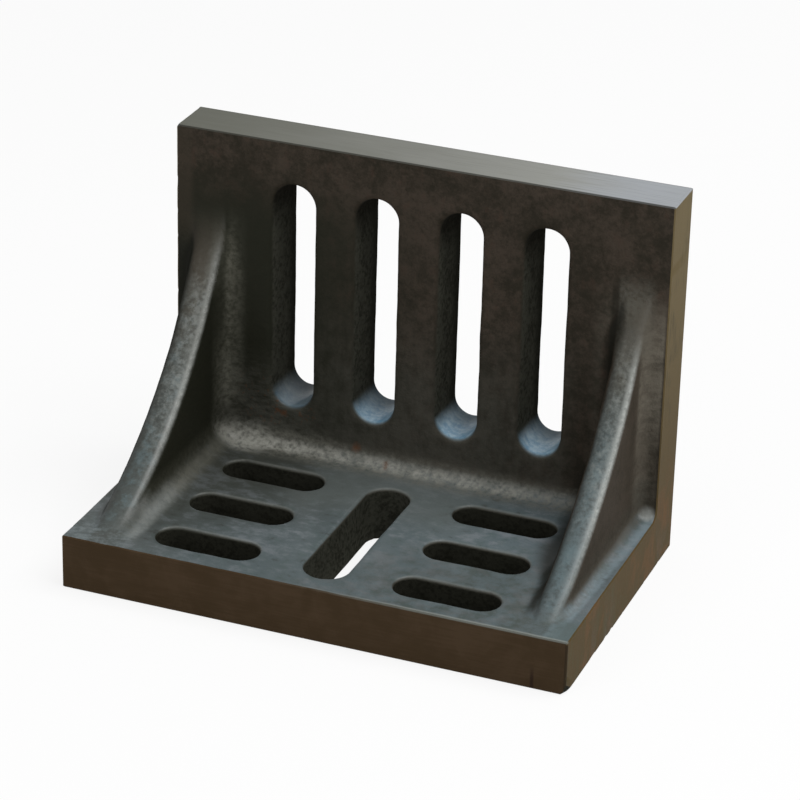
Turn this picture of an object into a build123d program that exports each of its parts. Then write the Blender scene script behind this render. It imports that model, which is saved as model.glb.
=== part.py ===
from build123d import *
import os

# An angle plate: one iron casting, its outer faces machined square. Sizes are in millimetres.
# X runs along the length, the upright's outer face looks along +Y, Z is up, and the origin is
# the middle of the underside.
length = 203.0  # over the two machined ends
depth = 127.0  # front edge to the outer face of the upright
height = 152.0  # underside to the top edge
base_thickness = 22.0
upright_thickness = 22.0
root_radius = 8.0  # cast fillet where the base meets the upright
edge_break = 0.5  # chamfer on the machined edges

# The two webs
web_thickness = 11.5
web_inset = 8.2  # ledge left between a web and the end beside it
web_toe_setback = 9.0  # front edge to the toe of the crest
web_head_drop = 41.3  # top edge down to the head of the crest
web_crest_radius = 158.5  # the crest is hollow, on one large arc
web_edge_radius = 4.0  # rounding along both edges of the crest
web_root_radius = 6.0  # cast fillet all round the foot of a web

# The upright's standing slots, side by side
upright_slot_count = 4
upright_slot_width = 17.6
upright_slot_side_margin = 21.1  # a web's inner face to the nearest slot
upright_slot_end_margin = 17.5  # the slots' ends to the top edge and to the base
upright_slot_lip = 2.0  # cast bevel round each slot on the inner face

# The base's slots: rows of cross slots on either side of one long slot
cross_slot_rows = 3
cross_slot_width = 15.0
cross_slot_end_margin = 12.4  # a web's inner face to the cross slots
cross_slot_row_margin = 9.7  # the outer rows to the front edge and to the root fillet
middle_slot_width = 17.6
middle_slot_end_margin = 9.5  # the long slot's ends to the front edge and to the root fillet
middle_slot_land = 18.6  # the long slot to the cross slots beside it
base_slot_lip = 1.0  # cast bevel round each slot on the inner face

# Places that follow from the sizes
front = -depth / 2
back = depth / 2
upright_face = back - upright_thickness
web_inner = length / 2 - web_inset - web_thickness
web_toe = (front + web_toe_setback, base_thickness)
web_head = (upright_face, height - web_head_drop)
web_seat = (upright_face + upright_thickness / 2, base_thickness / 2)
upright_slots_middle = (base_thickness + height) / 2
upright_slot_length = height - base_thickness - 2 * upright_slot_end_margin
upright_slot_reach = web_inner - upright_slot_side_margin - upright_slot_width / 2
upright_slot_pitch = 2 * upright_slot_reach / (upright_slot_count - 1)
base_slots_middle = (front + upright_face - root_radius) / 2
base_run = upright_face - root_radius - front
middle_slot_length = base_run - 2 * middle_slot_end_margin
cross_slot_row_pitch = (base_run - 2 * cross_slot_row_margin - cross_slot_width) / (cross_slot_rows - 1)
cross_slot_length = web_inner - cross_slot_end_margin - middle_slot_land - middle_slot_width / 2
cross_slot_reach = web_inner - cross_slot_end_margin - cross_slot_length / 2

# The webs before they join the plates: a flat gusset, seated half-way into both plates, with a
# hollow crest whose two edges are rounded off
with BuildPart() as webs:
    with BuildSketch(Plane.YZ.offset(web_inner)):
        with BuildLine():
            RadiusArc(web_toe, web_head, -web_crest_radius)
            Polyline(web_head, (web_seat[0], web_head[1]), web_seat, (web_toe[0], web_seat[1]), web_toe)
        make_face()
    extrude(amount=web_thickness)
    crest = webs.faces().filter_by(GeomType.CYLINDER)
    fillet(crest.edges().filter_by(GeomType.CIRCLE), radius=web_edge_radius)
    mirror(about=Plane.YZ)

with BuildPart() as angle_plate:
    # The base and the upright: one L section with a filleted inner corner
    with BuildSketch(Plane.YZ) as section:
        with BuildLine():
            Polyline(
                (front, 0),
                (back, 0),
                (back, height),
                (upright_face, height),
                (upright_face, base_thickness),
                (front, base_thickness),
                close=True,
            )
        make_face()
        inner_corner = section.vertices().sort_by_distance((0, upright_face, base_thickness))[0]
        fillet(inner_corner, radius=root_radius)
    extrude(amount=length / 2, both=True)

    # Machined edges, broken all round, with the inner corner's fillet left to run out at the ends
    root_seams = angle_plate.faces().filter_by(GeomType.CYLINDER).edges().filter_by(Axis.X)
    chamfer(angle_plate.edges() - root_seams, length=edge_break)

    # The webs grow out of both plates through one unbroken fillet round the foot of each
    add(webs.part)
    fillet(angle_plate.edges(Select.NEW), radius=web_root_radius)

    # Standing slots through the upright, bevelled on the inner face and crisp on the outer one
    with BuildSketch(Plane.XZ.offset(-upright_face)):
        with Locations((0, upright_slots_middle)):
            with GridLocations(upright_slot_pitch, 0, upright_slot_count, 1):
                SlotOverall(upright_slot_length, upright_slot_width, rotation=90)
    extrude(amount=-upright_thickness, mode=Mode.SUBTRACT)
    upright_rims = angle_plate.edges(Select.LAST).group_by(Axis.Y)[0]
    chamfer(upright_rims, length=upright_slot_lip)

    # Slots through the base, bevelled on the inner face and crisp on the underside
    with BuildSketch(Plane.XY.offset(base_thickness)):
        with Locations((0, base_slots_middle)):
            SlotOverall(middle_slot_length, middle_slot_width, rotation=90)
            with GridLocations(2 * cross_slot_reach, cross_slot_row_pitch, 2, cross_slot_rows):
                SlotOverall(cross_slot_length, cross_slot_width)
    extrude(amount=-base_thickness, mode=Mode.SUBTRACT)
    base_rims = angle_plate.edges(Select.LAST).group_by(Axis.Z)[-1]
    chamfer(base_rims, length=base_slot_lip)

angle_plate.part.label = "angle_plate"
os.makedirs("parts", exist_ok=True)
export_step(angle_plate.part, "parts/angle_plate.step")
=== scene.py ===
import bmesh
import bpy
import numpy as np
from mathutils import Matrix, Vector
from mathutils.geometry import delaunay_2d_cdt


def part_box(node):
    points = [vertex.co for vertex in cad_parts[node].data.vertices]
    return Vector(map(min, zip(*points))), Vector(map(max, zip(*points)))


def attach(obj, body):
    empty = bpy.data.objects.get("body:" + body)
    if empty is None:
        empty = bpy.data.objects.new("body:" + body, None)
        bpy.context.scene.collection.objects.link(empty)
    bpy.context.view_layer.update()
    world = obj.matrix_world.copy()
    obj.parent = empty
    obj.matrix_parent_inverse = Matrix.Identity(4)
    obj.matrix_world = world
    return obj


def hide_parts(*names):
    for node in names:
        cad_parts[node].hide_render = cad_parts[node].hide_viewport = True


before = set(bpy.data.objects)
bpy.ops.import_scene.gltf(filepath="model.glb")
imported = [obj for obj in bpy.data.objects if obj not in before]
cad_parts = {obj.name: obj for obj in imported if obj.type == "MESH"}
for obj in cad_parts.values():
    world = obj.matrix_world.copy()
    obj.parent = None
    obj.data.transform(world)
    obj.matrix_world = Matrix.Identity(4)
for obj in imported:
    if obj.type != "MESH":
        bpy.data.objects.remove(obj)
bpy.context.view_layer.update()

# The casting: base, upright and two webs poured as one piece of grey iron in a sand mould, with cored
# slots. The sand leaves the skin lumpy and grainy, and every inner corner filled with a soft fillet.
# Sizes are in millimetres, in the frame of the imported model.
low, high = (1000 * np.array(corner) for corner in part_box("angle_plate"))
(left, front, under), (right, back, top) = low, high
base_thickness = 22.0
upright_face = float(back) - 22.0  # the upright's inner face
root_radius = 8.0
ledge_root_radius = 4.5  # on the narrow ledges outside the webs
web_inner_face = 81.8
web_thickness = 11.5
left_web_thickness = 13.3  # the left web came out thicker on its outer side
web_root_radii = (11.0, 6.5)  # on the side between the webs, left web then right web
crest_radius = 158.5
crest_crown = 1.1  # the crest's middle stands above its edges
crest_edge_radii = (4.5, 2.4)  # left edge of each crest, then right edge
crest_head_radius = 40.0  # where a crest runs out on the upright
crest_toe = np.array([-54.5, 22.0])
crest_head = np.array([41.5, 110.7])
upright_slots_x = (-51.9, -17.3, 17.3, 51.9)
upright_slots_z = 87.0
upright_slot_half = (8.8, 38.7)  # half the width, then from the middle to the centre of a round end
upright_slot_lip = 2.2
upright_slot_draft = 1.1  # the core's taper: the slots are narrower by this on each side at the back
cross_slots_x = 48.4
cross_slots_y = (-46.3, -15.0, 16.3)
cross_slot_half = (7.5, 13.5)
middle_slot_y = -15.0
middle_slot_half = (8.8, 30.2)
base_slot_lip = 1.2
core_reach = 6.0  # a slot's core stands this far out of the plate
swells = ((0.16, 17.0, 1), (0.09, 6.5, 2), (0.05, 2.6, 3))  # height, spacing and seed of the relief
stock = 3.0  # left on the outer faces for machining

chord = crest_head - crest_toe
outward = np.array([-chord[1], chord[0]]) / np.hypot(*chord)
crest_centre = (crest_toe + crest_head) / 2 + outward * np.sqrt(crest_radius**2 - (chord @ chord) / 4)


def lumps(x, y, z, size, seed):
    """Soft random relief between -1 and 1: random heights on a cubic lattice of this spacing, blended
    between the eight lattice points round each place with an eased weight."""
    count = 40
    heights = np.random.default_rng(seed).uniform(-1, 1, (count, count, count))
    steps = [np.asarray(v) / size + 5 * count for v in (x, y, z)]
    starts = [np.floor(s).astype(int) for s in steps]
    eased = [(s - f) ** 2 * (3 - 2 * (s - f)) for s, f in zip(steps, starts)]
    total = 0.0
    for corner in np.ndindex(2, 2, 2):
        weight = 1.0
        for e, c in zip(eased, corner):
            weight = weight * (e if c else 1 - e)
        total = total + weight * heights[tuple((f + c) % count for f, c in zip(starts, corner))]
    return total


def rolled_join(a, b, radius, cosine):
    """Two solids joined by a fillet that a ball of this radius would roll: between the two directions
    that face the ball's centre the distance is the radius less the way to that centre, elsewhere it
    is the nearer solid's. The cosine is that of the angle between the two outward directions."""
    u, v = radius - a, radius - b
    between_both = (u > cosine * v) & (v > cosine * u)
    way = np.sqrt(np.maximum(u * u + v * v - 2 * cosine * u * v, 0) / (1 - cosine**2))
    return np.where(between_both, radius - way, np.minimum(a, b))


def rounded_overlap(a, b, radius):
    """What two solids share, with the edge between them rounded: the larger distance when deep inside,
    and near the edge the distance to the rounding's centre line."""
    u, v = np.maximum(a + radius, 0), np.maximum(b + radius, 0)
    return np.minimum(np.maximum(a, b), -radius) + np.hypot(u, v)


def obround(along, across, half):
    """Distance to a slot with round ends: to its middle line, less half its width."""
    return np.hypot(np.maximum(np.abs(along) - half[1], 0), across) - half[0]


def plates(x, y, z):
    """Distance to the base and the upright with their root fillet, tighter on the ledges, and the share
    of the outward direction that each of the two gives."""
    above, ahead = z - base_thickness, upright_face - y
    on_ledge = np.abs(x) > web_inner_face + web_thickness / 2
    radius = np.where(on_ledge, ledge_root_radius, root_radius)
    u, v = np.maximum(radius - above, 0), np.maximum(radius - ahead, 0)
    way = np.maximum(np.hypot(u, v), 1e-6)
    in_root = (u > 0) & (v > 0)
    up = np.where(in_root, u / way, above < ahead)
    forward = np.where(in_root, v / way, above >= ahead)
    return rolled_join(above, ahead, radius, 0.0), up, forward


def web_slab(x):
    """Distance to the slab between a web's two faces, its thickness, and the place across it, from -1 at
    its left face to 1 at its right one."""
    thickness = np.where(x < 0, left_web_thickness, web_thickness)
    middle = np.where(x < 0, -1, 1) * (web_inner_face + thickness / 2)
    across = 2 * (x - middle) / thickness
    return (np.abs(across) - 1) * thickness / 2, thickness, across


def iron(x, y, z):
    """Distance to the form of the casting, negative inside. A web is the slab between its two faces
    that lies outside the crest's circle, with rounded edges, joined to the plates by a rolled fillet
    that widens where the crest runs out on the upright. Then the slots are taken out, with rounded
    lips: each is an obround that ends a little way off its plate."""
    flattest = 0.98  # cosine between two faces that lie nearly in line
    far = 50.0  # a distance at which a slot cuts nothing
    plate, up, forward = plates(x, y, z)
    slab, thickness, across = web_slab(x)
    reach_y, reach_z = crest_centre[0] - y, crest_centre[1] - z
    reach = np.hypot(reach_y, reach_z)
    crest = crest_radius - reach + crest_crown * across**2
    edge_radius = np.where(across < 0, *crest_edge_radii)
    web = rounded_overlap(slab, crest, edge_radius)
    u, v = np.maximum(slab + edge_radius, 0), np.maximum(crest + edge_radius, 0)
    crest_share = np.where(u + v > 0, v / np.maximum(np.hypot(u, v), 1e-6), crest > slab)
    cosine = crest_share * (up * reach_z - forward * reach_y) / reach
    through = np.clip((np.abs(x) - web_inner_face) / thickness, 0, 1)
    inner_radius = np.where(x < 0, *web_root_radii)
    radius = inner_radius + (ledge_root_radius - inner_radius) * through
    run_out = crest_share**8 * forward**2  # only on top of a crest, against the upright
    radius = radius + (crest_head_radius - radius) * run_out
    body = rolled_join(plate, web, radius, np.clip(cosine, -flattest, flattest))
    taper = upright_slot_draft * np.maximum(y - upright_face, 0) / (back - upright_face)
    for slot_x in upright_slots_x:
        slot = obround(z - upright_slots_z, x - slot_x, upright_slot_half) + taper
        slot = np.where(y > upright_face - core_reach, slot, far)
        body = rounded_overlap(body, -slot, upright_slot_lip)
    slot = obround(y - middle_slot_y, x, middle_slot_half)
    for slot_y in cross_slots_y:
        slot = np.minimum(slot, obround(np.abs(x) - cross_slots_x, y - slot_y, cross_slot_half))
    slot = np.where(z < base_thickness + core_reach, slot, far)
    return rounded_overlap(body, -slot, base_slot_lip)


def skin(x, y, z):
    """Distance to the skin as the sand left it: the form with long swells and small lumps added."""
    return iron(x, y, z) + sum(height * lumps(x, y, z, size, seed) for height, size, seed in swells)


def mould(x, y, z):
    """Distance to the box that shuts the casting off, outside the machined faces by the stock."""
    beside, along, over = np.abs(x) - right, np.abs(y) - back, np.abs(z - top / 2) - top / 2
    return np.maximum(beside, np.maximum(along, over)) - stock


def outward_of(x, y, z, step=0.25):
    """Outward direction of the skin: the slope of its distance, by central differences."""
    slope = np.stack([
        skin(x + step, y, z) - skin(x - step, y, z),
        skin(x, y + step, z) - skin(x, y - step, z),
        skin(x, y, z + step) - skin(x, y, z - step),
    ], axis=-1)
    return slope / np.maximum(np.linalg.norm(slope, axis=-1, keepdims=True), 1e-9)


# The distance on a lattice. The machined planes lie half-way between the lattice's points, so that the
# skin's points fall on them, and the lattice is finer through the lips of the slots.
cell = 1.12
margin = int(np.ceil(stock / cell)) + 2
lips = ((0, 0), (upright_face - 1, upright_face + 3), (base_thickness - 2.5, base_thickness + 1))  # by axis
lattice = []
for start, end, (lip_start, lip_end) in zip(low, high, lips):
    steps = round((end - start) / cell)
    line = start + (np.arange(-margin, steps + margin + 1) - 0.5) * (end - start) / steps
    middle = (line[1:] + line[:-1]) / 2
    lattice.append(np.sort(np.append(line, middle[(middle > lip_start) & (middle < lip_end)])))
grid = np.meshgrid(*lattice, indexing="ij", sparse=True)
field = np.maximum(iron(*grid), mould(*grid))
close = np.nonzero(np.abs(field) < 3 * cell)
close_places = [line[at] for line, at in zip(lattice, close)]
field[close] = np.maximum(skin(*close_places), mould(*close_places))

# Where the skin grazes the lattice, two opposite corners of a lattice square can be solid and the other
# two empty. There the value nearest to the skin changes sides, until only two faces meet at any edge.
sweeps = 12
for _ in range(sweeps):
    for axis in range(3):
        steps = np.zeros((4, 3), int)
        steps[[1, 2], (axis + 1) % 3] = 1
        steps[[2, 3], (axis + 2) % 3] = 1
        extent = np.array(field.shape) - (np.arange(3) != axis)
        solid = [field[tuple(slice(s, s + n) for s, n in zip(step, extent))] < 0 for step in steps]
        crossed = (solid[0] == solid[2]) & (solid[1] == solid[3]) & (solid[0] != solid[1])
        nodes = np.argwhere(crossed)[:, None, :] + steps
        nearest = np.abs(field[tuple(np.moveaxis(nodes, 2, 0))]).argmin(axis=1)
        chosen = tuple(nodes[np.arange(len(nodes)), nearest].T)
        field[chosen] = -field[chosen]
inside = field < 0

# One point for each lattice cell that the skin passes through: the mean of where it crosses the edges
size = tuple(n - 1 for n in field.shape)
offsets = list(np.ndindex(2, 2, 2))
solid_corners = sum(
    inside[tuple(slice(s, s + n) for s, n in zip(offset, size))].astype(np.int8) for offset in offsets
)
cells = np.argwhere((solid_corners > 0) & (solid_corners < len(offsets)))
number = np.full(size, -1)
number[tuple(cells.T)] = np.arange(len(cells))
value = {offset: field[tuple((cells + offset).T)] for offset in offsets}
crossings, count = np.zeros((len(cells), 3)), np.zeros((len(cells), 1))
for near in offsets:
    for axis in range(3):
        if near[axis]:
            continue
        far = tuple(1 if i == axis else c for i, c in enumerate(near))
        crosses = (value[near] < 0) != (value[far] < 0)
        share = np.where(crosses, value[near] / np.where(crosses, value[near] - value[far], 1.0), 0.0)
        place = np.tile(np.array(near, float), (len(cells), 1))
        place[:, axis] = share
        crossings += place * crosses[:, None]
        count += crosses[:, None]
cell_start = np.stack([line[at] for line, at in zip(lattice, cells.T)], axis=1)
cell_end = np.stack([line[at + 1] for line, at in zip(lattice, cells.T)], axis=1)
points = cell_start + (cell_end - cell_start) * crossings / count

# A face for each lattice edge that the skin crosses, over the four cells round that edge
quads = []
for axis in range(3):
    lower, upper = [slice(1, -1)] * 3, [slice(1, -1)] * 3
    lower[axis], upper[axis] = slice(0, -1), slice(1, None)
    first, second = inside[tuple(lower)], inside[tuple(upper)]
    edges = np.argwhere(first != second)
    leaving = first[tuple(edges.T)]
    ring = []
    for one_step, two_step in ((0, 0), (1, 0), (1, 1), (0, 1)):
        at = edges.copy()
        at[:, (axis + 1) % 3] += one_step
        at[:, (axis + 2) % 3] += two_step
        ring.append(number[tuple(at.T)])
    ring = np.stack(ring, axis=1)
    quads.append(np.where(leaving[:, None], ring, ring[:, ::-1]))
quads = np.concatenate(quads)

# The points settle on the skin: each goes some way to the mean of its neighbours, but only along the
# surface, and then onto the surface along its outward direction. Points in the layers of the machined
# planes don't slide off them, and end on the planes.
settling_passes, sliding_share = 4, 0.15
layers = [np.searchsorted(line, ends) - 1 for line, ends in zip(lattice, zip(low, high))]
held = np.stack([np.isin(cells[:, axis], layers[axis]) for axis in range(3)], axis=1)
links = np.concatenate([quads[:, [i, (i + 1) % 4]] for i in range(4)])
links = np.concatenate([links, links[:, ::-1]])
neighbours = np.bincount(links[:, 0], minlength=len(points))[:, None]
for _ in range(settling_passes):
    off = skin(*points.T)
    free = (np.abs(off) < 2 * cell) & (mould(*points.T) - off < 1e-9)
    outwards = outward_of(*points.T)
    total = [np.bincount(links[:, 0], points[links[:, 1], i], len(points)) for i in range(3)]
    slide = sliding_share * (np.stack(total, axis=1) / neighbours - points)
    slide -= (slide * outwards).sum(axis=1, keepdims=True) * outwards
    slide[held] = 0
    points = np.where(free[:, None], points + slide - off[:, None] * outwards, points)
for axis in range(3):
    for plane, layer in zip((low[axis], high[axis]), layers[axis]):
        chosen = (cells[:, axis] == layer) & (np.abs(points[:, axis] - plane) < 0.6 * cell)
        points[chosen, axis] = plane

# Machining: each outer face is milled flat in turn, and the edges that this leaves are broken. The rim
# of a milled face moves in by the width of the break, at right angles to the faces that it meets, and
# further where the edge has been nicked.
edge_break = 0.45
nick_width, nick_spacing, nick_seed = 1.6, 3.4, 4
nick_start = 0.62  # only the highest of the random relief makes a nick
same_point = 1.5e-4  # in metres, between points that are merged


def cut(shape, place, facing, clear):
    """Splits the faces that a plane passes through, and where asked takes away all that lies past it."""
    everything = shape.verts[:] + shape.edges[:] + shape.faces[:]
    bmesh.ops.bisect_plane(
        shape, geom=everything, dist=2e-6, plane_co=place, plane_no=facing, clear_outer=clear
    )


def within(places, starts, ends):
    """Whether each place in a plane lies inside the outline made of these edges: a line drawn from it
    along the first axis then crosses an odd number of them."""
    run, climb = (ends - starts).T
    level = places[:, 1:] - starts[:, 1]
    spans = (starts[:, 1] > places[:, 1:]) != (ends[:, 1] > places[:, 1:])
    crossing = starts[:, 0] + level * run / np.where(climb == 0, 1, climb)
    return (spans & (crossing > places[:, :1])).sum(axis=1) % 2 == 1


milled_finish, ground_finish = 1, 2  # the skin's finish is 0
iron_mesh = bpy.data.meshes.new("angle_plate_casting")
iron_mesh.from_pydata(points / 1000, [], quads)
shape = bmesh.new()
shape.from_mesh(iron_mesh)
for axis, side in ((1, 1), (2, -1), (1, -1), (0, -1), (0, 1), (2, 1)):
    facing = Vector(side * (axis == i) for i in range(3))
    plane = Vector((high if side > 0 else low) / 1000)
    cut(shape, plane, facing, clear=True)
    cut(shape, plane - facing * edge_break / 1000, facing, clear=False)
    bmesh.ops.remove_doubles(shape, verts=shape.verts[:], dist=same_point)
    cornered = [face for face in shape.faces if sum(edge.is_boundary for edge in face.edges) > 1]
    bmesh.ops.poke(shape, faces=cornered)
    shape.normal_update()

    rim = [edge for edge in shape.edges if edge.is_boundary]
    rim_points = list(dict.fromkeys(v for edge in rim for v in edge.verts))
    order = {v: i for i, v in enumerate(rim_points)}
    ends = np.array([[order[v] for v in edge.verts] for edge in rim])
    away = np.array([edge.link_faces[0].normal for edge in rim])
    away[:, axis] = 0
    away /= np.maximum(np.linalg.norm(away, axis=1, keepdims=True), 1e-9)
    total = np.zeros((len(rim_points), 3))
    np.add.at(total, ends[:, 0], away)
    np.add.at(total, ends[:, 1], away)
    inward = 2 * total / np.maximum((total**2).sum(axis=1, keepdims=True), 2.0)
    rim_places = 1000 * np.array([v.co for v in rim_points])
    nicks = np.clip(lumps(*rim_places.T, nick_spacing, nick_seed) - nick_start, 0, 1)[:, None]
    for v, step in zip(rim_points, inward * (edge_break + nick_width * nicks) / 1000):
        v.co -= Vector(step)

    finish = ground_finish if (axis, side) == (2, 1) else milled_finish
    for edge in rim:
        edge.link_faces[0].material_index = finish
    outline = np.array([(v.co[(axis + 1) % 3], v.co[(axis + 2) % 3]) for v in rim_points])
    flat_points = [Vector(place) for place in outline]
    _, _, cap, origins, _, _ = delaunay_2d_cdt(flat_points, ends.tolist(), [], 1, 1e-9)
    cap = np.array([[origins[i][0] for i in triangle] for triangle in cap])
    filled = within(outline[cap].mean(axis=1), outline[ends[:, 0]], outline[ends[:, 1]])
    for triangle in cap[filled]:
        shape.faces.new([rim_points[i] for i in triangle[::side]]).material_index = finish

# Two corners have been knocked off, each by two slanted breaks. A break runs through three points, at
# these distances from the corner along its three edges.
for tip, inward, breaks in (
    ((right, front, under), (-1, 1, 1), ((2.2, 5.2, 3.0), (1.5, 7.0, 4.4))),
    ((left, upright_face, top), (1, 1, -1), ((1.5, 2.2, 1.3), (1.0, 3.2, 1.0))),
):
    for distances in np.array(breaks):
        facing = -Vector(inward / distances).normalized()
        plane = Vector(tip) / 1000 + Vector((inward[0] * distances[0] / 1000, 0, 0))
        cut(shape, plane, facing, clear=True)
        rim = [edge for edge in shape.edges if edge.is_boundary]
        bmesh.ops.triangle_fill(shape, use_beauty=True, edges=rim, normal=facing)
shape.normal_update()
shape.to_mesh(iron_mesh)
shape.free()
iron_mesh.set_sharp_from_angle(angle=np.radians(33))
casting = bpy.data.objects.new("angle_plate_casting", iron_mesh)
bpy.context.scene.collection.objects.link(casting)
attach(casting, "root")
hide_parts("angle_plate")


def ramp(values, start, end):
    """0 at the start, 1 at the end, in a straight line between and level outside them."""
    return np.clip((values - start) / (end - start), 0, 1)


# What the finish of the skin follows: the fillets at the feet of the webs, the tops of the webs, and the
# edges along those tops. The points are held to the size of the machined block.
places = np.empty(3 * len(iron_mesh.vertices))
iron_mesh.vertices.foreach_get("co", places)
places = np.clip(places.reshape(-1, 3), low / 1000, high / 1000)
iron_mesh.vertices.foreach_set("co", places.ravel())
px, py, pz = 1000 * places.T
slab, _, _ = web_slab(px)
hollow = crest_radius - np.hypot(crest_centre[0] - py, crest_centre[1] - pz)
above, ahead = pz - base_thickness, upright_face - py
on_edge = ramp(np.abs(slab - hollow), 2.4, 0) * (slab > -4) * (slab < 0.5)
marks = {
    "foot": ramp(np.maximum(np.abs(slab), np.minimum(above, ahead)), 11, 0) * ramp(hollow, 4, 0),
    "crest": ramp(hollow, -2.2, -0.4) * ramp(slab, 1.5, 0) * ramp(above, 0, 3),
    "ridge": on_edge * ramp(above, 0, 8),
}
for name, values in marks.items():
    attribute = iron_mesh.attributes.new(name, "FLOAT", "POINT")
    attribute.data.foreach_set("value", values.astype(np.float32))


class Field:
    """A value that varies over the iron, held as a node socket. Sums, differences and products of
    fields and numbers add the Math nodes that work them out."""

    def __init__(self, tree, socket=None):
        self.tree, self.socket = tree, socket

    def node(self, kind, settings=(), sockets=(), out=0):
        """Adds a node: its settings first, then a number, a colour or a field for each named socket."""
        made = self.tree.nodes.new(kind)
        for name, value in dict(settings).items():
            setattr(made, name, value)
        for name, value in dict(sockets).items():
            if isinstance(value, Field):
                self.tree.links.new(value.socket, made.inputs[name])
            else:
                made.inputs[name].default_value = value
        return Field(self.tree, made.outputs[out])

    def maths(self, operation, *terms):
        """Adds a Math node of any operation."""
        return self.node("ShaderNodeMath", {"operation": operation}, enumerate(terms))

    def __add__(self, other):
        return self.maths("ADD", self, other)

    def __sub__(self, other):
        return self.maths("SUBTRACT", self, other)

    def __rsub__(self, other):
        return self.maths("SUBTRACT", other, self)

    def __mul__(self, other):
        return self.maths("MULTIPLY", self, other)

    __radd__ = __add__
    __rmul__ = __mul__


def size_of(value):
    """A value without its sign."""
    return value.maths("ABSOLUTE", value)


def parts_of(vector):
    """The three parts of a vector."""
    return [vector.node("ShaderNodeSeparateXYZ", sockets={0: vector}, out=axis) for axis in range(3)]


def mottle(place, size, detail=3.0, roughness=0.55, warp=0.0):
    """Cloudy noise from 0 to 1, with patches of this size in millimetres."""
    return place.node("ShaderNodeTexNoise", {}, {
        "Vector": place, "Scale": 1000 / size, "Detail": detail, "Roughness": roughness, "Distortion": warp,
    })


def stretched(place, share):
    """The same place with each axis scaled, so that noise read there is drawn out along the small ones."""
    return place.node("ShaderNodeVectorMath", {"operation": "MULTIPLY"}, {0: place, 1: share})


def ragged(value, noise, width):
    """A value that wanders with a noise over this width, so that edges read from it are uneven."""
    return value + width * (noise - 0.5)


def rise(value, start, end):
    """0 up to the start, 1 from the end on, eased between."""
    steps = {"Value": value, "From Min": start, "From Max": end}
    return value.node("ShaderNodeMapRange", {"interpolation_type": "SMOOTHSTEP"}, steps)


def between(value, start, full, fade, end):
    """Rises from the start until it is full, and falls from where it fades to the end."""
    return rise(value, start, full) * rise(value, end, fade)


def blend(under, over, share):
    """One colour over another, by a share from 0 to 1."""
    under, over = (colour if isinstance(colour, Field) else (*colour, 1) for colour in (under, over))
    return share.node("ShaderNodeMix", {"data_type": "RGBA"}, {0: share, 6: under, 7: over}, out=2)


def finish_for(name):
    """A new material: a field to start its nodes from, its shader, its object coordinates and its
    outward direction."""
    material = bpy.data.materials.new(name)
    material.use_nodes = True
    iron_mesh.materials.append(material)
    start = Field(material.node_tree)
    place, facing = (start.node("ShaderNodeTexCoord", out=kind) for kind in ("Object", "Normal"))
    return start, material.node_tree.nodes["Principled BSDF"], place, facing


def fill_in(start, shader, **fields):
    """Links fields to the shader's sockets, named with underscores for spaces."""
    for name, field in fields.items():
        start.tree.links.new(field.socket, shader.inputs[name.replace("_", " ")])


# Cast skin: brown-black oiled iron with rusty stains, painted blue-grey as lit from above where it faces
# up, the painted light strongest towards the front and the right end, and left grainy and paler by the sand
# in the corner and on the webs' crests. Places are in millimetres.
start, shader, place, facing = finish_for("cast iron skin")
foot, crest, ridge = (
    start.node("ShaderNodeAttribute", {"attribute_name": name}, out="Fac") for name in marks
)
rightward, forward, upward = parts_of(facing)
x, y, z = (1000 * part for part in parts_of(place))
above, ahead = z - base_thickness, upright_face - y
off_middle = size_of(x)
across = x - 88 * start.maths("SIGN", x)  # from the middle of the nearer web
left_half, right_half = rise(x, 20, -20), rise(x, -20, 20)
outer_side, inner_side = rise(off_middle, 90.5, 92.5), rise(off_middle, 83.5, 81.5)
floor_wall, upright_wall = rise(above, -0.4, -1.8), rise(ahead, -0.4, -2.0)
wall = start.maths("MAXIMUM", floor_wall, upright_wall)
# Painted light: faces that face up take a lit blue-grey colour, as under the overhead lamp
lit_from_above = rise(upward, 0.35, 0.9)
stain, patch, cloud = mottle(place, 26, 5, 0.6), mottle(place, 7, 5, 0.65), mottle(place, 60, 2)
sand, speck = mottle(place, 1.7, 4, 0.7), mottle(place, 1.8, 3, 0.55)
streak = mottle(stretched(place, (1, 1, 0.25)), 3.0, 5, 0.7)
rubbing = mottle(stretched(place, (0.6, 1, 1)), 4.5, 6, 0.74)
ripple = mottle(stretched(place, (0.35, 1, 1)), 2.0, 4, 0.62)
grain = rise(0.35 * ripple + 0.45 * speck + 0.2 * patch, 0.36, 0.64)

# The upright and the sides of the webs, dark with oil, with painted shade over the left part, at the
# left end and beside the right web
stained = rise(0.35 * stain + 0.35 * patch + 0.3 * sand, 0.4, 0.6)
dark = blend((0.029, 0.025, 0.018), (0.060, 0.047, 0.036), stained)
rusty = 0.45 * rise(0.5 * patch + 0.5 * streak, 0.52, 0.66)
dark = blend(dark, (0.056, 0.035, 0.025), rusty)
# Painted shade: the left part of the upright, below its top, is darkened to near black
shaded_left = rise(ragged(x, streak, 40), 20, -60) * rise(z, 145, 115)
dark = blend(dark, (0.022, 0.0225, 0.0155), shaded_left)
greyed = 0.75 * rise(0.3 * streak + 0.4 * patch + 0.3 * cloud, 0.25, 0.65) * rise(z, 100, 50)
greyed = greyed * rise(x, -70, -20) * (1 - 0.8 * rise(x, 58, 70))
dark = blend(dark, (0.074, 0.074, 0.062), greyed)
left_root = rise(0.6 * ripple + 0.4 * patch, 0.3, 0.65) * rise(z, 66, 40) * rise(ahead, 14, 7)
left_root = left_root * between(x, -81.5, -78.5, -55, -30)
dark = blend(dark, (0.070, 0.070, 0.058), left_root)
web_side = outer_side * rise(rightward, 0.2, 0.7) * (0.2 + 0.9 * patch)
dark = blend(dark, (0.054, 0.045, 0.035), web_side)
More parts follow.
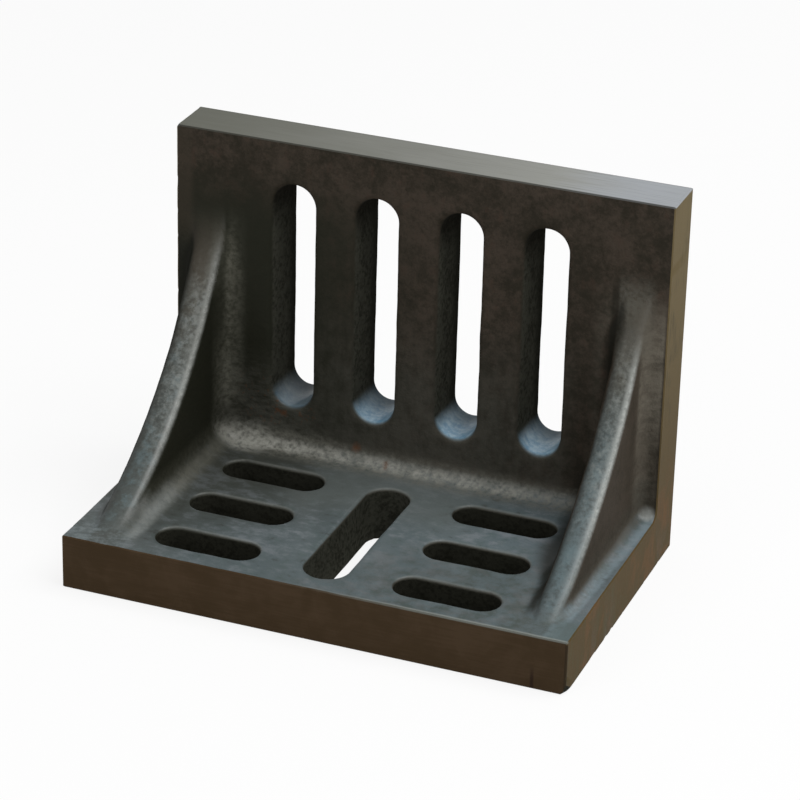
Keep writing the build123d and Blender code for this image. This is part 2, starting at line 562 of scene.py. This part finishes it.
# Painted shade at the left end: the left web's outer side and the strip beyond it
left_end_shade = 0.8 * rise(x, -89, -95) * rise(z, 116, 98)
dark = blend(dark, (0.014, 0.0145, 0.011), left_end_shade)
left_brown = 0.6 * rise(ragged(x, patch, 2), -93, -97) * rise(z, 98, 116)
dark = blend(dark, (0.050, 0.041, 0.030), left_brown)
strip = between(x, 90.5, 94, 99.8, 101.2) * rise(z, 118, 95) * rise(ahead, 8, 3)
strip = strip * (0.3 + 0.7 * rise(z, 45, 70)) * (0.35 + 0.65 * rise(0.5 * ripple + 0.5 * patch, 0.35, 0.65))
dark = blend(dark, (0.190, 0.172, 0.138), strip)
head = between(x, 80.8, 82.6, 93.0, 97.5) * rise(ragged(z, patch, 8), 125, 112) * rise(z, 86, 98)
head = head * (0.25 + 0.65 * rise(0.6 * speck + 0.4 * patch, 0.36, 0.62))
dark = blend(dark, (0.105, 0.101, 0.084), head)
# Painted shadow on the upright just left of the right web's inner face
shade_beside_right_web = 0.75 * between(x, 78.0, 79.6, 81.0, 82.2) * between(z, 70, 85, 110, 121) * rise(ahead, 12, 6)
dark = blend(dark, (0.016, 0.014, 0.010), shade_beside_right_web)

# The top of the base: painted lit blue-grey, stronger towards the front and the right end, over rubbed
# streaks and dark blotches, with painted shade and a painted highlight line along the right ledge
# Painted light falloff: the top is painted lighter and bluer towards the front and the right end
light_towards_front_right = rise(ragged(x - 0.9 * y, cloud, 70) + 40 * outer_side, -100, 130)
lit_and_worn = blend((0.047, 0.050, 0.042), (0.152, 0.198, 0.218), light_towards_front_right)
greenish = 0.5 * light_towards_front_right * rise(patch, 0.5, 0.62)
lit_and_worn = blend(lit_and_worn, (0.090, 0.128, 0.122), greenish)
rubbed = (0.18 + 0.57 * light_towards_front_right) * rise(0.6 * rubbing + 0.4 * stain, 0.47, 0.62)
lit_and_worn = blend(lit_and_worn, (0.240, 0.262, 0.284), rubbed)
blotched = 0.8 * rise(0.35 * stain + 0.65 * rubbing, 0.46, 0.33)
lit_and_worn = blend(lit_and_worn, (0.040, 0.042, 0.037), blotched)
front_right = (0.4 + 0.3 * rise(0.5 * rubbing + 0.5 * patch, 0.38, 0.62)) * rise(light_towards_front_right, 0.3, 0.95)
front_right = front_right * rise(y, 12, -28) * (1 - outer_side)
lit_and_worn = blend(lit_and_worn, (0.043, 0.047, 0.036), front_right)
back_middle = 0.6 * rise(off_middle, 45, 22) * rise(y, -12, 12)
lit_and_worn = blend(lit_and_worn, (0.130, 0.148, 0.142), back_middle)
ledge = rise(x, 90.5, 92.5) * rise(ahead, 1, 6)
beside = ragged(x - 97.7 - 0.047 * y, patch, 1)  # from the light line along the ledge
# Painted shade on the ledge's fillet next to the right web
lit_and_worn = blend(lit_and_worn, (0.062, 0.060, 0.052), 0.75 * ledge * rise(beside, -1.2, -4.0) * rise(y, -46, -34))
lit_and_worn = blend(lit_and_worn, (0.105, 0.122, 0.128), 0.6 * ledge * rise(beside, 0.8, 3.0))
# Painted highlight: a light blue line along the middle of the ledge's fillet
ledge_highlight = 0.38 * ledge * between(beside, -2.0, -0.3, 0.8, 2.6) * rise(y, -54, -44)
lit_and_worn = blend(lit_and_worn, (0.250, 0.310, 0.340), ledge_highlight)
front_corner = 0.65 * rise(x, 88, 96) * rise(y, -43, -54)
lit_and_worn = blend(lit_and_worn, (0.095, 0.128, 0.125), front_corner)
# Painted light: faces that face up get the lit blue-grey top colour, the others keep the dark one
colour = blend(dark, lit_and_worn, lit_from_above)

# The inner corner, sandy and pale along its fillet, most at the left end, with a painted highlight along
# the fillet's lower edge and another along the left web's foot fillet
dust_height = 8 + 14 * rise(ragged(x, cloud, 20), -15, -75)
dusty = rise(ragged(ragged(above, patch, 8), sand, 6), dust_height, 0.2 * dust_height)
dusty = inner_side * dusty * rise(ahead, 14, 6) * (0.45 + 0.55 * rise(above, 11, 3))
colour = blend(colour, (0.165, 0.162, 0.137), dusty * (0.2 + 0.6 * grain))
# Painted highlight along the lower edge of the root fillet, broken up by the sand's grain
turn = ragged(above - ahead, patch, 3)
root_highlight = inner_side * between(turn, -7.5, -2.8, -0.6, 4.5) * rise(above + ahead, 14, 9)
root_highlight = root_highlight * (0.75 + 0.25 * rise(x, -40, -62)) * (1 - 0.6 * rise(x, 25, 65))
colour = blend(colour, (0.380, 0.380, 0.340), root_highlight * (0.15 + 0.8 * grain * rise(patch, 0.3, 0.6)))
left_end = between(x, -84, -77, -70, -56) * rise(above, 11, 3) * rise(ahead, 13, 6)
colour = blend(colour, (0.385, 0.385, 0.343), left_end * (0.3 + 0.6 * grain))
pitted = 0.35 * dusty * rise(0.5 * speck + 0.3 * sand + 0.2 * patch, 0.5, 0.32)
colour = blend(colour, (0.030, 0.030, 0.024), pitted)
# Painted highlight along the middle of the left web's foot fillet, where it faces the lamp; grainy
fillet_highlight = rise(ragged(x, patch, 3), -73.0, -77.0) * rise(ragged(x, patch, 2), -81.0, -77.5)
fillet_highlight = fillet_highlight * rise(above, 7.5, 4) * between(y, -60, -48, 26, 36) * (0.35 + 0.4 * grain)
fillet_highlight_colour = blend((0.170, 0.166, 0.135), (0.290, 0.310, 0.300), rise(y, 0, -30))
colour = blend(colour, fillet_highlight_colour, fillet_highlight * (0.6 + 0.4 * rise(y, 10, -20)))

# Rubbed blotches on the toe of the left web, and painted highlights on the slots' far lips, along the
# front edge and at the right ledge's corner
toe = lit_from_above * rise(x, -72, -80) * rise(ragged(y, patch, 4), -40, -52)
colour = blend(colour, (0.200, 0.240, 0.247), 0.45 * toe * rise(0.6 * rubbing + 0.4 * speck, 0.42, 0.62))
# Painted highlight on the slots' far lips, where the rounding faces the light
lip_highlight = between(above, -1.6, -0.6, -0.2, 0.2) * rise(forward, 0.0, -0.35)
colour = blend(colour, (0.205, 0.210, 0.190), 0.3 * lip_highlight)
# Painted highlight along the front edge of the base's top
front_edge_highlight = lit_from_above * rise(y, -61.7, -62.6) * rise(ragged(x, patch, 60), -20, 60)
colour = blend(colour, (0.270, 0.285, 0.265), 0.6 * front_edge_highlight)
# Painted highlight: a bright spot in the corner of the right ledge against the upright
glint_centre = {0: place, 1: (0.0978, 0.0400, 0.0243)}  # in metres
off_glint = 1000 * start.node("ShaderNodeVectorMath", {"operation": "DISTANCE"}, glint_centre, out="Value")
colour = blend(colour, (0.380, 0.395, 0.375), 0.85 * rise(ragged(off_glint, patch, 2), 4.2, 1.2))

# The feet of the webs: sandy fillets, with painted light where they face right and painted shade where
# they face left, and a painted shadow of the right web
up_the_web = rise(above, 12, 20)
fillet = blend((0.088, 0.086, 0.070), (0.230, 0.224, 0.180), up_the_web)
fillet = blend(fillet, (0.120, 0.105, 0.082), up_the_web * rise(x, 85, 90))
# Painted light: fillets facing right, towards the lamp, take the light sandy colour, with the sand's grain
sandy_lit_side = rise(rightward, -0.25, 0.3) * (1 - 0.7 * rise(z, 98, 112) * rise(across, -2, -6))
sandy_lit_side = sandy_lit_side * (1 - 0.8 * rise(x, -77.5, -80.5) * rise(z, 50, 75))
colour = blend(colour, fillet, 0.85 * foot * sandy_lit_side * (0.22 + 0.55 * grain))
rearward = rise(y, -35, 5)
# Painted shade: fillets facing left, away from the lamp, are darkened
shaded_side = 0.8 * foot * rise(rightward, -0.08, -0.45) * (0.35 + 0.65 * rearward)
colour = blend(colour, (0.014, 0.014, 0.011), shaded_side)
# Painted shadow of the right web on the base beside its inner foot, wider towards the back
shadow_edge = 77.5 - 13.5 * rearward
shadow_of_right_web = rise(ragged(x, patch, 2), shadow_edge, shadow_edge + 3 + 6 * rearward) * rise(x, 83.5, 81.5)
shadow_of_right_web = shadow_of_right_web * rise(above, 20, 10) * rise(ragged(y, patch, 6), -56, -38)
colour = blend(colour, (0.019, 0.019, 0.015), 0.85 * shadow_of_right_web)

# The crests of the webs: sandy and specked, palest at half height, bluer low down, with painted shade
# along the left edge and a painted highlight over the right part
lower = rise(ragged(z, cloud, 20), 90, 50)
off_toe = 0.4 + 0.6 * rise(z, 32, 55)
crown = blend((0.098, 0.092, 0.074), (0.070, 0.080, 0.075), lower)
crown = blend(crown, (0.098, 0.128, 0.134), lower * right_half)
palest = (0.8 - 0.2 * right_half) * between(z, 36, 56, 80, 102) * rise(0.6 * patch + 0.4 * sand, 0.38, 0.6)
crown = blend(crown, (0.205, 0.220, 0.208), palest)
crown = blend(crown, (0.120, 0.168, 0.180), 0.5 * lower * rise(patch, 0.46, 0.64))
# Painted highlight over the crest's right part, towards the lamp
crown = blend(crown, (0.26, 0.272, 0.255), 0.33 * rise(across, 0, 4.5) * rise(z, 115, 90) * off_toe)
crown = blend(crown, (0.040, 0.039, 0.033), 0.5 * rise(0.7 * speck + 0.3 * stain, 0.47, 0.66))
light_specks = 0.28 * rise(0.6 * speck + 0.4 * rubbing, 0.5, 0.34) * rise(z, 118, 95) * off_toe
crown = blend(crown, (0.30, 0.31, 0.29), light_specks)
# Painted shade along the crest's left edge, away from the lamp
crown = blend(crown, (0.028, 0.028, 0.023), 0.85 * rise(ragged(across, patch, 2), 0.5, -6.8))
brown_head = 0.7 * rise(z, 84, 102) * rise(across, 4, 1) * left_half
crown = blend(crown, (0.066, 0.056, 0.044), brown_head)
colour = blend(colour, crown, crest * rise(z, 124, 95) * (1 - 0.6 * right_half * rise(z, 88, 102)))
# Painted highlight along each crest's rounded right edge, strongest where it faces right
right_edge = ridge * rise(across, 0, 2)
edge_highlight = (0.25 + 0.75 * rise(rightward, 0.05, 0.5)) * rise(z - 10 * left_half, 102, 80)
edge_highlight = edge_highlight * (0.4 + 0.6 * rise(z, 30, 50)) * (0.4 + 0.6 * grain)
edge_highlight_colour = blend((0.40, 0.41, 0.385), (0.47, 0.49, 0.465), right_half)
colour = blend(colour, edge_highlight_colour, 0.95 * right_edge * edge_highlight)

# The walls of the slots, dark and rough, with painted shade that deepens into the slots, and the round
# ends at the foot of the upright's slots painted light blue-grey as lit from above, darker towards the back
# Painted shade: the upright's slot walls darken from the lip to near black at the back and under the top;
# the dark specks are the sand's
slot_wall_shade = blend((0.066, 0.066, 0.052), (0.014, 0.014, 0.011), rise(ahead, -10, -21))
slot_wall_shade = blend(slot_wall_shade, (0.016, 0.014, 0.011), 0.8 * rise(z, 112, 130))
slot_wall_shade = blend(slot_wall_shade, (0.030, 0.030, 0.023), floor_wall)
slot_wall_shade = blend(slot_wall_shade, (0.056, 0.057, 0.045), floor_wall * rise(off_middle, 14, 11))
slot_wall_shade = blend(slot_wall_shade, (0.010, 0.010, 0.007), 0.6 * rise(0.4 * sand + 0.3 * speck + 0.3 * patch, 0.44, 0.60))
colour = blend(colour, slot_wall_shade, wall)
# Painted light: the round ends face up and are painted light blue-grey, with painted shade towards the back
lit_bowl = upright_wall * rise(ragged(upward, patch, 0.2), 0.05, 0.9) * (1 - 0.85 * rise(ahead, -6, -21))
streaky = rise(0.4 * streak + 0.3 * speck + 0.3 * patch, 0.38, 0.62)
bowl_light_colour = blend((0.150, 0.310, 0.460), (0.390, 0.545, 0.640), streaky)
colour = blend(colour, bowl_light_colour, lit_bowl * (0.35 + 0.65 * rise(x, -52, -10)))

# Spots of rust low on the upright, and flecks at its left end
rust = between(x, -78, -68, -50, -35) * between(z, 28, 34, 44, 55)
rust = 0.8 * rust * rise(0.6 * speck + 0.4 * patch, 0.54, 0.64)
spots = ((-55.0, 36.6, 2.2), (-23.4, 27.9, 2.8), (-10.0, 24.0, 1.8), (-58.0, 37.6, 1.5))
for spot_x, spot_z, spread in spots:
    squared = (x - spot_x) * (x - spot_x) + (z - spot_z) * (z - spot_z)
    rust = rust + rise(ragged(start.maths("SQRT", squared), sand, 4), spread, 0.0)
colour = blend(colour, (0.115, 0.050, 0.024), 0.7 * rust * rise(ahead, 20, 10) * (1 - wall))
height = 0.6 * sand + 0.5 * speck + 0.3 * patch
bump = start.node("ShaderNodeBump", sockets={"Strength": 0.8, "Distance": 0.0007, "Height": height})
oily = 0.05 + 0.6 * lit_bowl + 0.26 * lit_from_above + 0.35 * right_edge - 0.05 * wall
shader.inputs["Specular IOR Level"].default_value = 0.0
shader.inputs["Coat Roughness"].default_value = 0.3
fill_in(start, shader, Base_Color=colour, Roughness=0.6 + 0.2 * sand, Coat_Weight=oily, Normal=bump)

# Milled faces, browned and oiled: dark and even in front, paler and olive on the ends towards the top,
# with a painted highlight along the front edge, a darkened front right corner and one dark run near it
start, shader, place, facing = finish_for("milled iron")
x, y, z = (1000 * part for part in parts_of(place))
cuts = mottle(stretched(place, (0.06, 1, 1)), 0.8)
drawn = mottle(stretched(place, (1, 1, 0.12)), 1.6, 4, 0.65)
patch = mottle(place, 14, 5, 0.6, warp=0.5)
brown = blend((0.048, 0.0305, 0.0155), (0.062, 0.040, 0.0225), rise(0.7 * patch + 0.3 * cuts, 0.38, 0.66))
olive = blend((0.077, 0.052, 0.020), (0.145, 0.112, 0.056), rise(z, 0, 160))
low_down = rise(z, 50, 20)
olive = blend(olive, (0.150, 0.072, 0.026), 0.6 * rise(0.7 * patch + 0.3 * drawn, 0.48, 0.6) * low_down)
olive = blend(olive, (0.062, 0.050, 0.026), 0.6 * rise(0.5 * drawn + 0.5 * patch, 0.5, 0.66))
olive = blend(olive, (0.070, 0.068, 0.032), 0.5 * rise(0.6 * drawn + 0.4 * patch, 0.48, 0.38) * low_down)
on_end = rise(size_of(parts_of(facing)[0]), 0.3, 0.8)
colour = blend(brown, olive, on_end)
# Painted highlight along the top of the front face
front_edge_highlight = rise(z, 21.2, 21.7) * rise(y, -61.5, -62.5) * rise(ragged(x, patch, 60), -20, 60)
colour = blend(colour, (0.150, 0.165, 0.150), 0.75 * front_edge_highlight)
front_corner = rise(x, 100.4, 101.0) * rise(y, -62.2, -62.8) * rise(z, 21.5, 20.5)
colour = blend(colour, (0.026, 0.018, 0.011), 0.8 * front_corner)
run = rise(size_of(ragged(x - 88.5, drawn, 1.5)), 1.1, 0.2) * rise(z, 11, 4) * rise(y, -60, -63)
colour = blend(colour, (0.020, 0.011, 0.008), 0.75 * run)
bump = start.node("ShaderNodeBump", sockets={"Strength": 0.3, "Distance": 0.0001, "Height": cuts + drawn})
shader.inputs["Specular IOR Level"].default_value = 0.04
fill_in(start, shader, Base_Color=colour, Roughness=0.5 + 0.16 * cuts, Normal=bump)

# The top edge, ground, with painted light that runs from dark at the left end to bright blue-grey at the
# right end, fine scratches along it and dark edges where the wheel left the brown finish
start, shader, place, _ = finish_for("ground iron")
x, y, _ = (1000 * part for part in parts_of(place))
scratch = mottle(stretched(place, (0.02, 1, 1)), 0.5)
patch = mottle(stretched(place, (0.3, 1, 1)), 12, 4)
# Painted light: dark at the left end to bright at the right end, bluer at the right end
colour = blend((0.075, 0.077, 0.058), (0.290, 0.295, 0.275), rise(ragged(x, patch, 50), -140, 140))
colour = blend(colour, (0.295, 0.312, 0.330), rise(x + 30 * patch, 60, 100))
colour = blend(colour, (0.09, 0.088, 0.072), 0.4 * rise(scratch, 0.5, 0.75))
dark_edges = rise(size_of(y - 52.5), 10.0, 10.6)
colour = blend(colour, (0.030, 0.029, 0.023), 0.85 * dark_edges)
bump = start.node("ShaderNodeBump", sockets={"Strength": 0.25, "Distance": 0.00008, "Height": scratch})
shader.inputs["Specular IOR Level"].default_value = 0.15
fill_in(start, shader, Base_Color=colour, Roughness=0.4 + 0.2 * scratch, Normal=bump)

# The camera looks down on the inside corner from the right of the front, from about 1.3 m away, through a
# long lens. The first three columns are its right, its up and its back, and the last is its place.
camera = bpy.data.cameras.new("camera")
camera.lens = 154.77
camera.sensor_width = 36.0
camera.clip_end = 20.0
viewer = bpy.data.objects.new("camera", camera)
viewer.matrix_world = Matrix((
    (0.93007, -0.17846, 0.32113, 0.427603),
    (0.36662, 0.39448, -0.8426, -1.095258),
    (0.0237, 0.90141, 0.43232, 0.635355),
    (0, 0, 0, 1),
))
bpy.context.scene.collection.objects.link(viewer)
bpy.context.scene.camera = viewer

# A plain sheet of white paper for a floor, just under the casting. It takes the shadow, and where it is
# looked at it is lifted most of the way to white.
paper_reach, paper_level = 8.0, -1e-4
lift = 0.85
floor_mesh = bpy.data.meshes.new("floor")
paper_corners = [
    (i * paper_reach, j * paper_reach, paper_level) for i, j in ((-1, -1), (1, -1), (1, 1), (-1, 1))
]
floor_mesh.from_pydata(paper_corners, [], [(0, 1, 2, 3)])
floor = bpy.data.objects.new("floor", floor_mesh)
bpy.context.scene.collection.objects.link(floor)


def looked_at(start):
    """1 for the rays that show a surface: those of the camera, and those that were mirrored or let
    through on the way."""
    kinds = ("Is Camera Ray", "Is Glossy Ray", "Is Transmission Ray")
    seen, mirrored, passed = (start.node("ShaderNodeLightPath", out=kind) for kind in kinds)
    return seen + mirrored + passed


paper = bpy.data.materials.new("white paper")
paper.use_nodes = True
floor_mesh.materials.append(paper)
tree = paper.node_tree
tree.nodes.clear()
start = Field(tree)
matt = start.node("ShaderNodeBsdfDiffuse", sockets={"Color": (0.92, 0.92, 0.92, 1)})
glow = start.node("ShaderNodeEmission", sockets={"Color": (1, 1, 1, 1), "Strength": 1.0})
surface = start.node("ShaderNodeMixShader", sockets={0: lift * looked_at(start), 1: matt, 2: glow})
tree.links.new(surface.socket, tree.nodes.new("ShaderNodeOutputMaterial").inputs["Surface"])

# The light: a large soft lamp high on the right, a weak one in front, and an even white room that is
# dimmer as light than it looks
aim = Vector((0, 0, 0.06))
for name, place, size, power in (
    ("high lamp", (0.75, 0.05, 1.6), 1.3, 24.0),
    ("front lamp", (-0.7, -1.6, 1.0), 1.0, 5.0),
):
    lamp = bpy.data.lights.new(name, "AREA")
    lamp.size = size
    lamp.energy = power
    holder = bpy.data.objects.new(name, lamp)
    holder.location = place
    holder.rotation_euler = (aim - Vector(place)).to_track_quat("-Z", "Y").to_euler()
    bpy.context.scene.collection.objects.link(holder)
room_light = 0.35
world = bpy.data.worlds.new("studio")
bpy.context.scene.world = world
world.use_nodes = True
room = world.node_tree.nodes["Background"]
room.inputs["Color"].default_value = (1, 1, 1, 1)
strength = room_light + (1 - room_light) * looked_at(Field(world.node_tree))
world.node_tree.links.new(strength.socket, room.inputs["Strength"])
bpy.context.scene.view_settings.view_transform = "Standard"
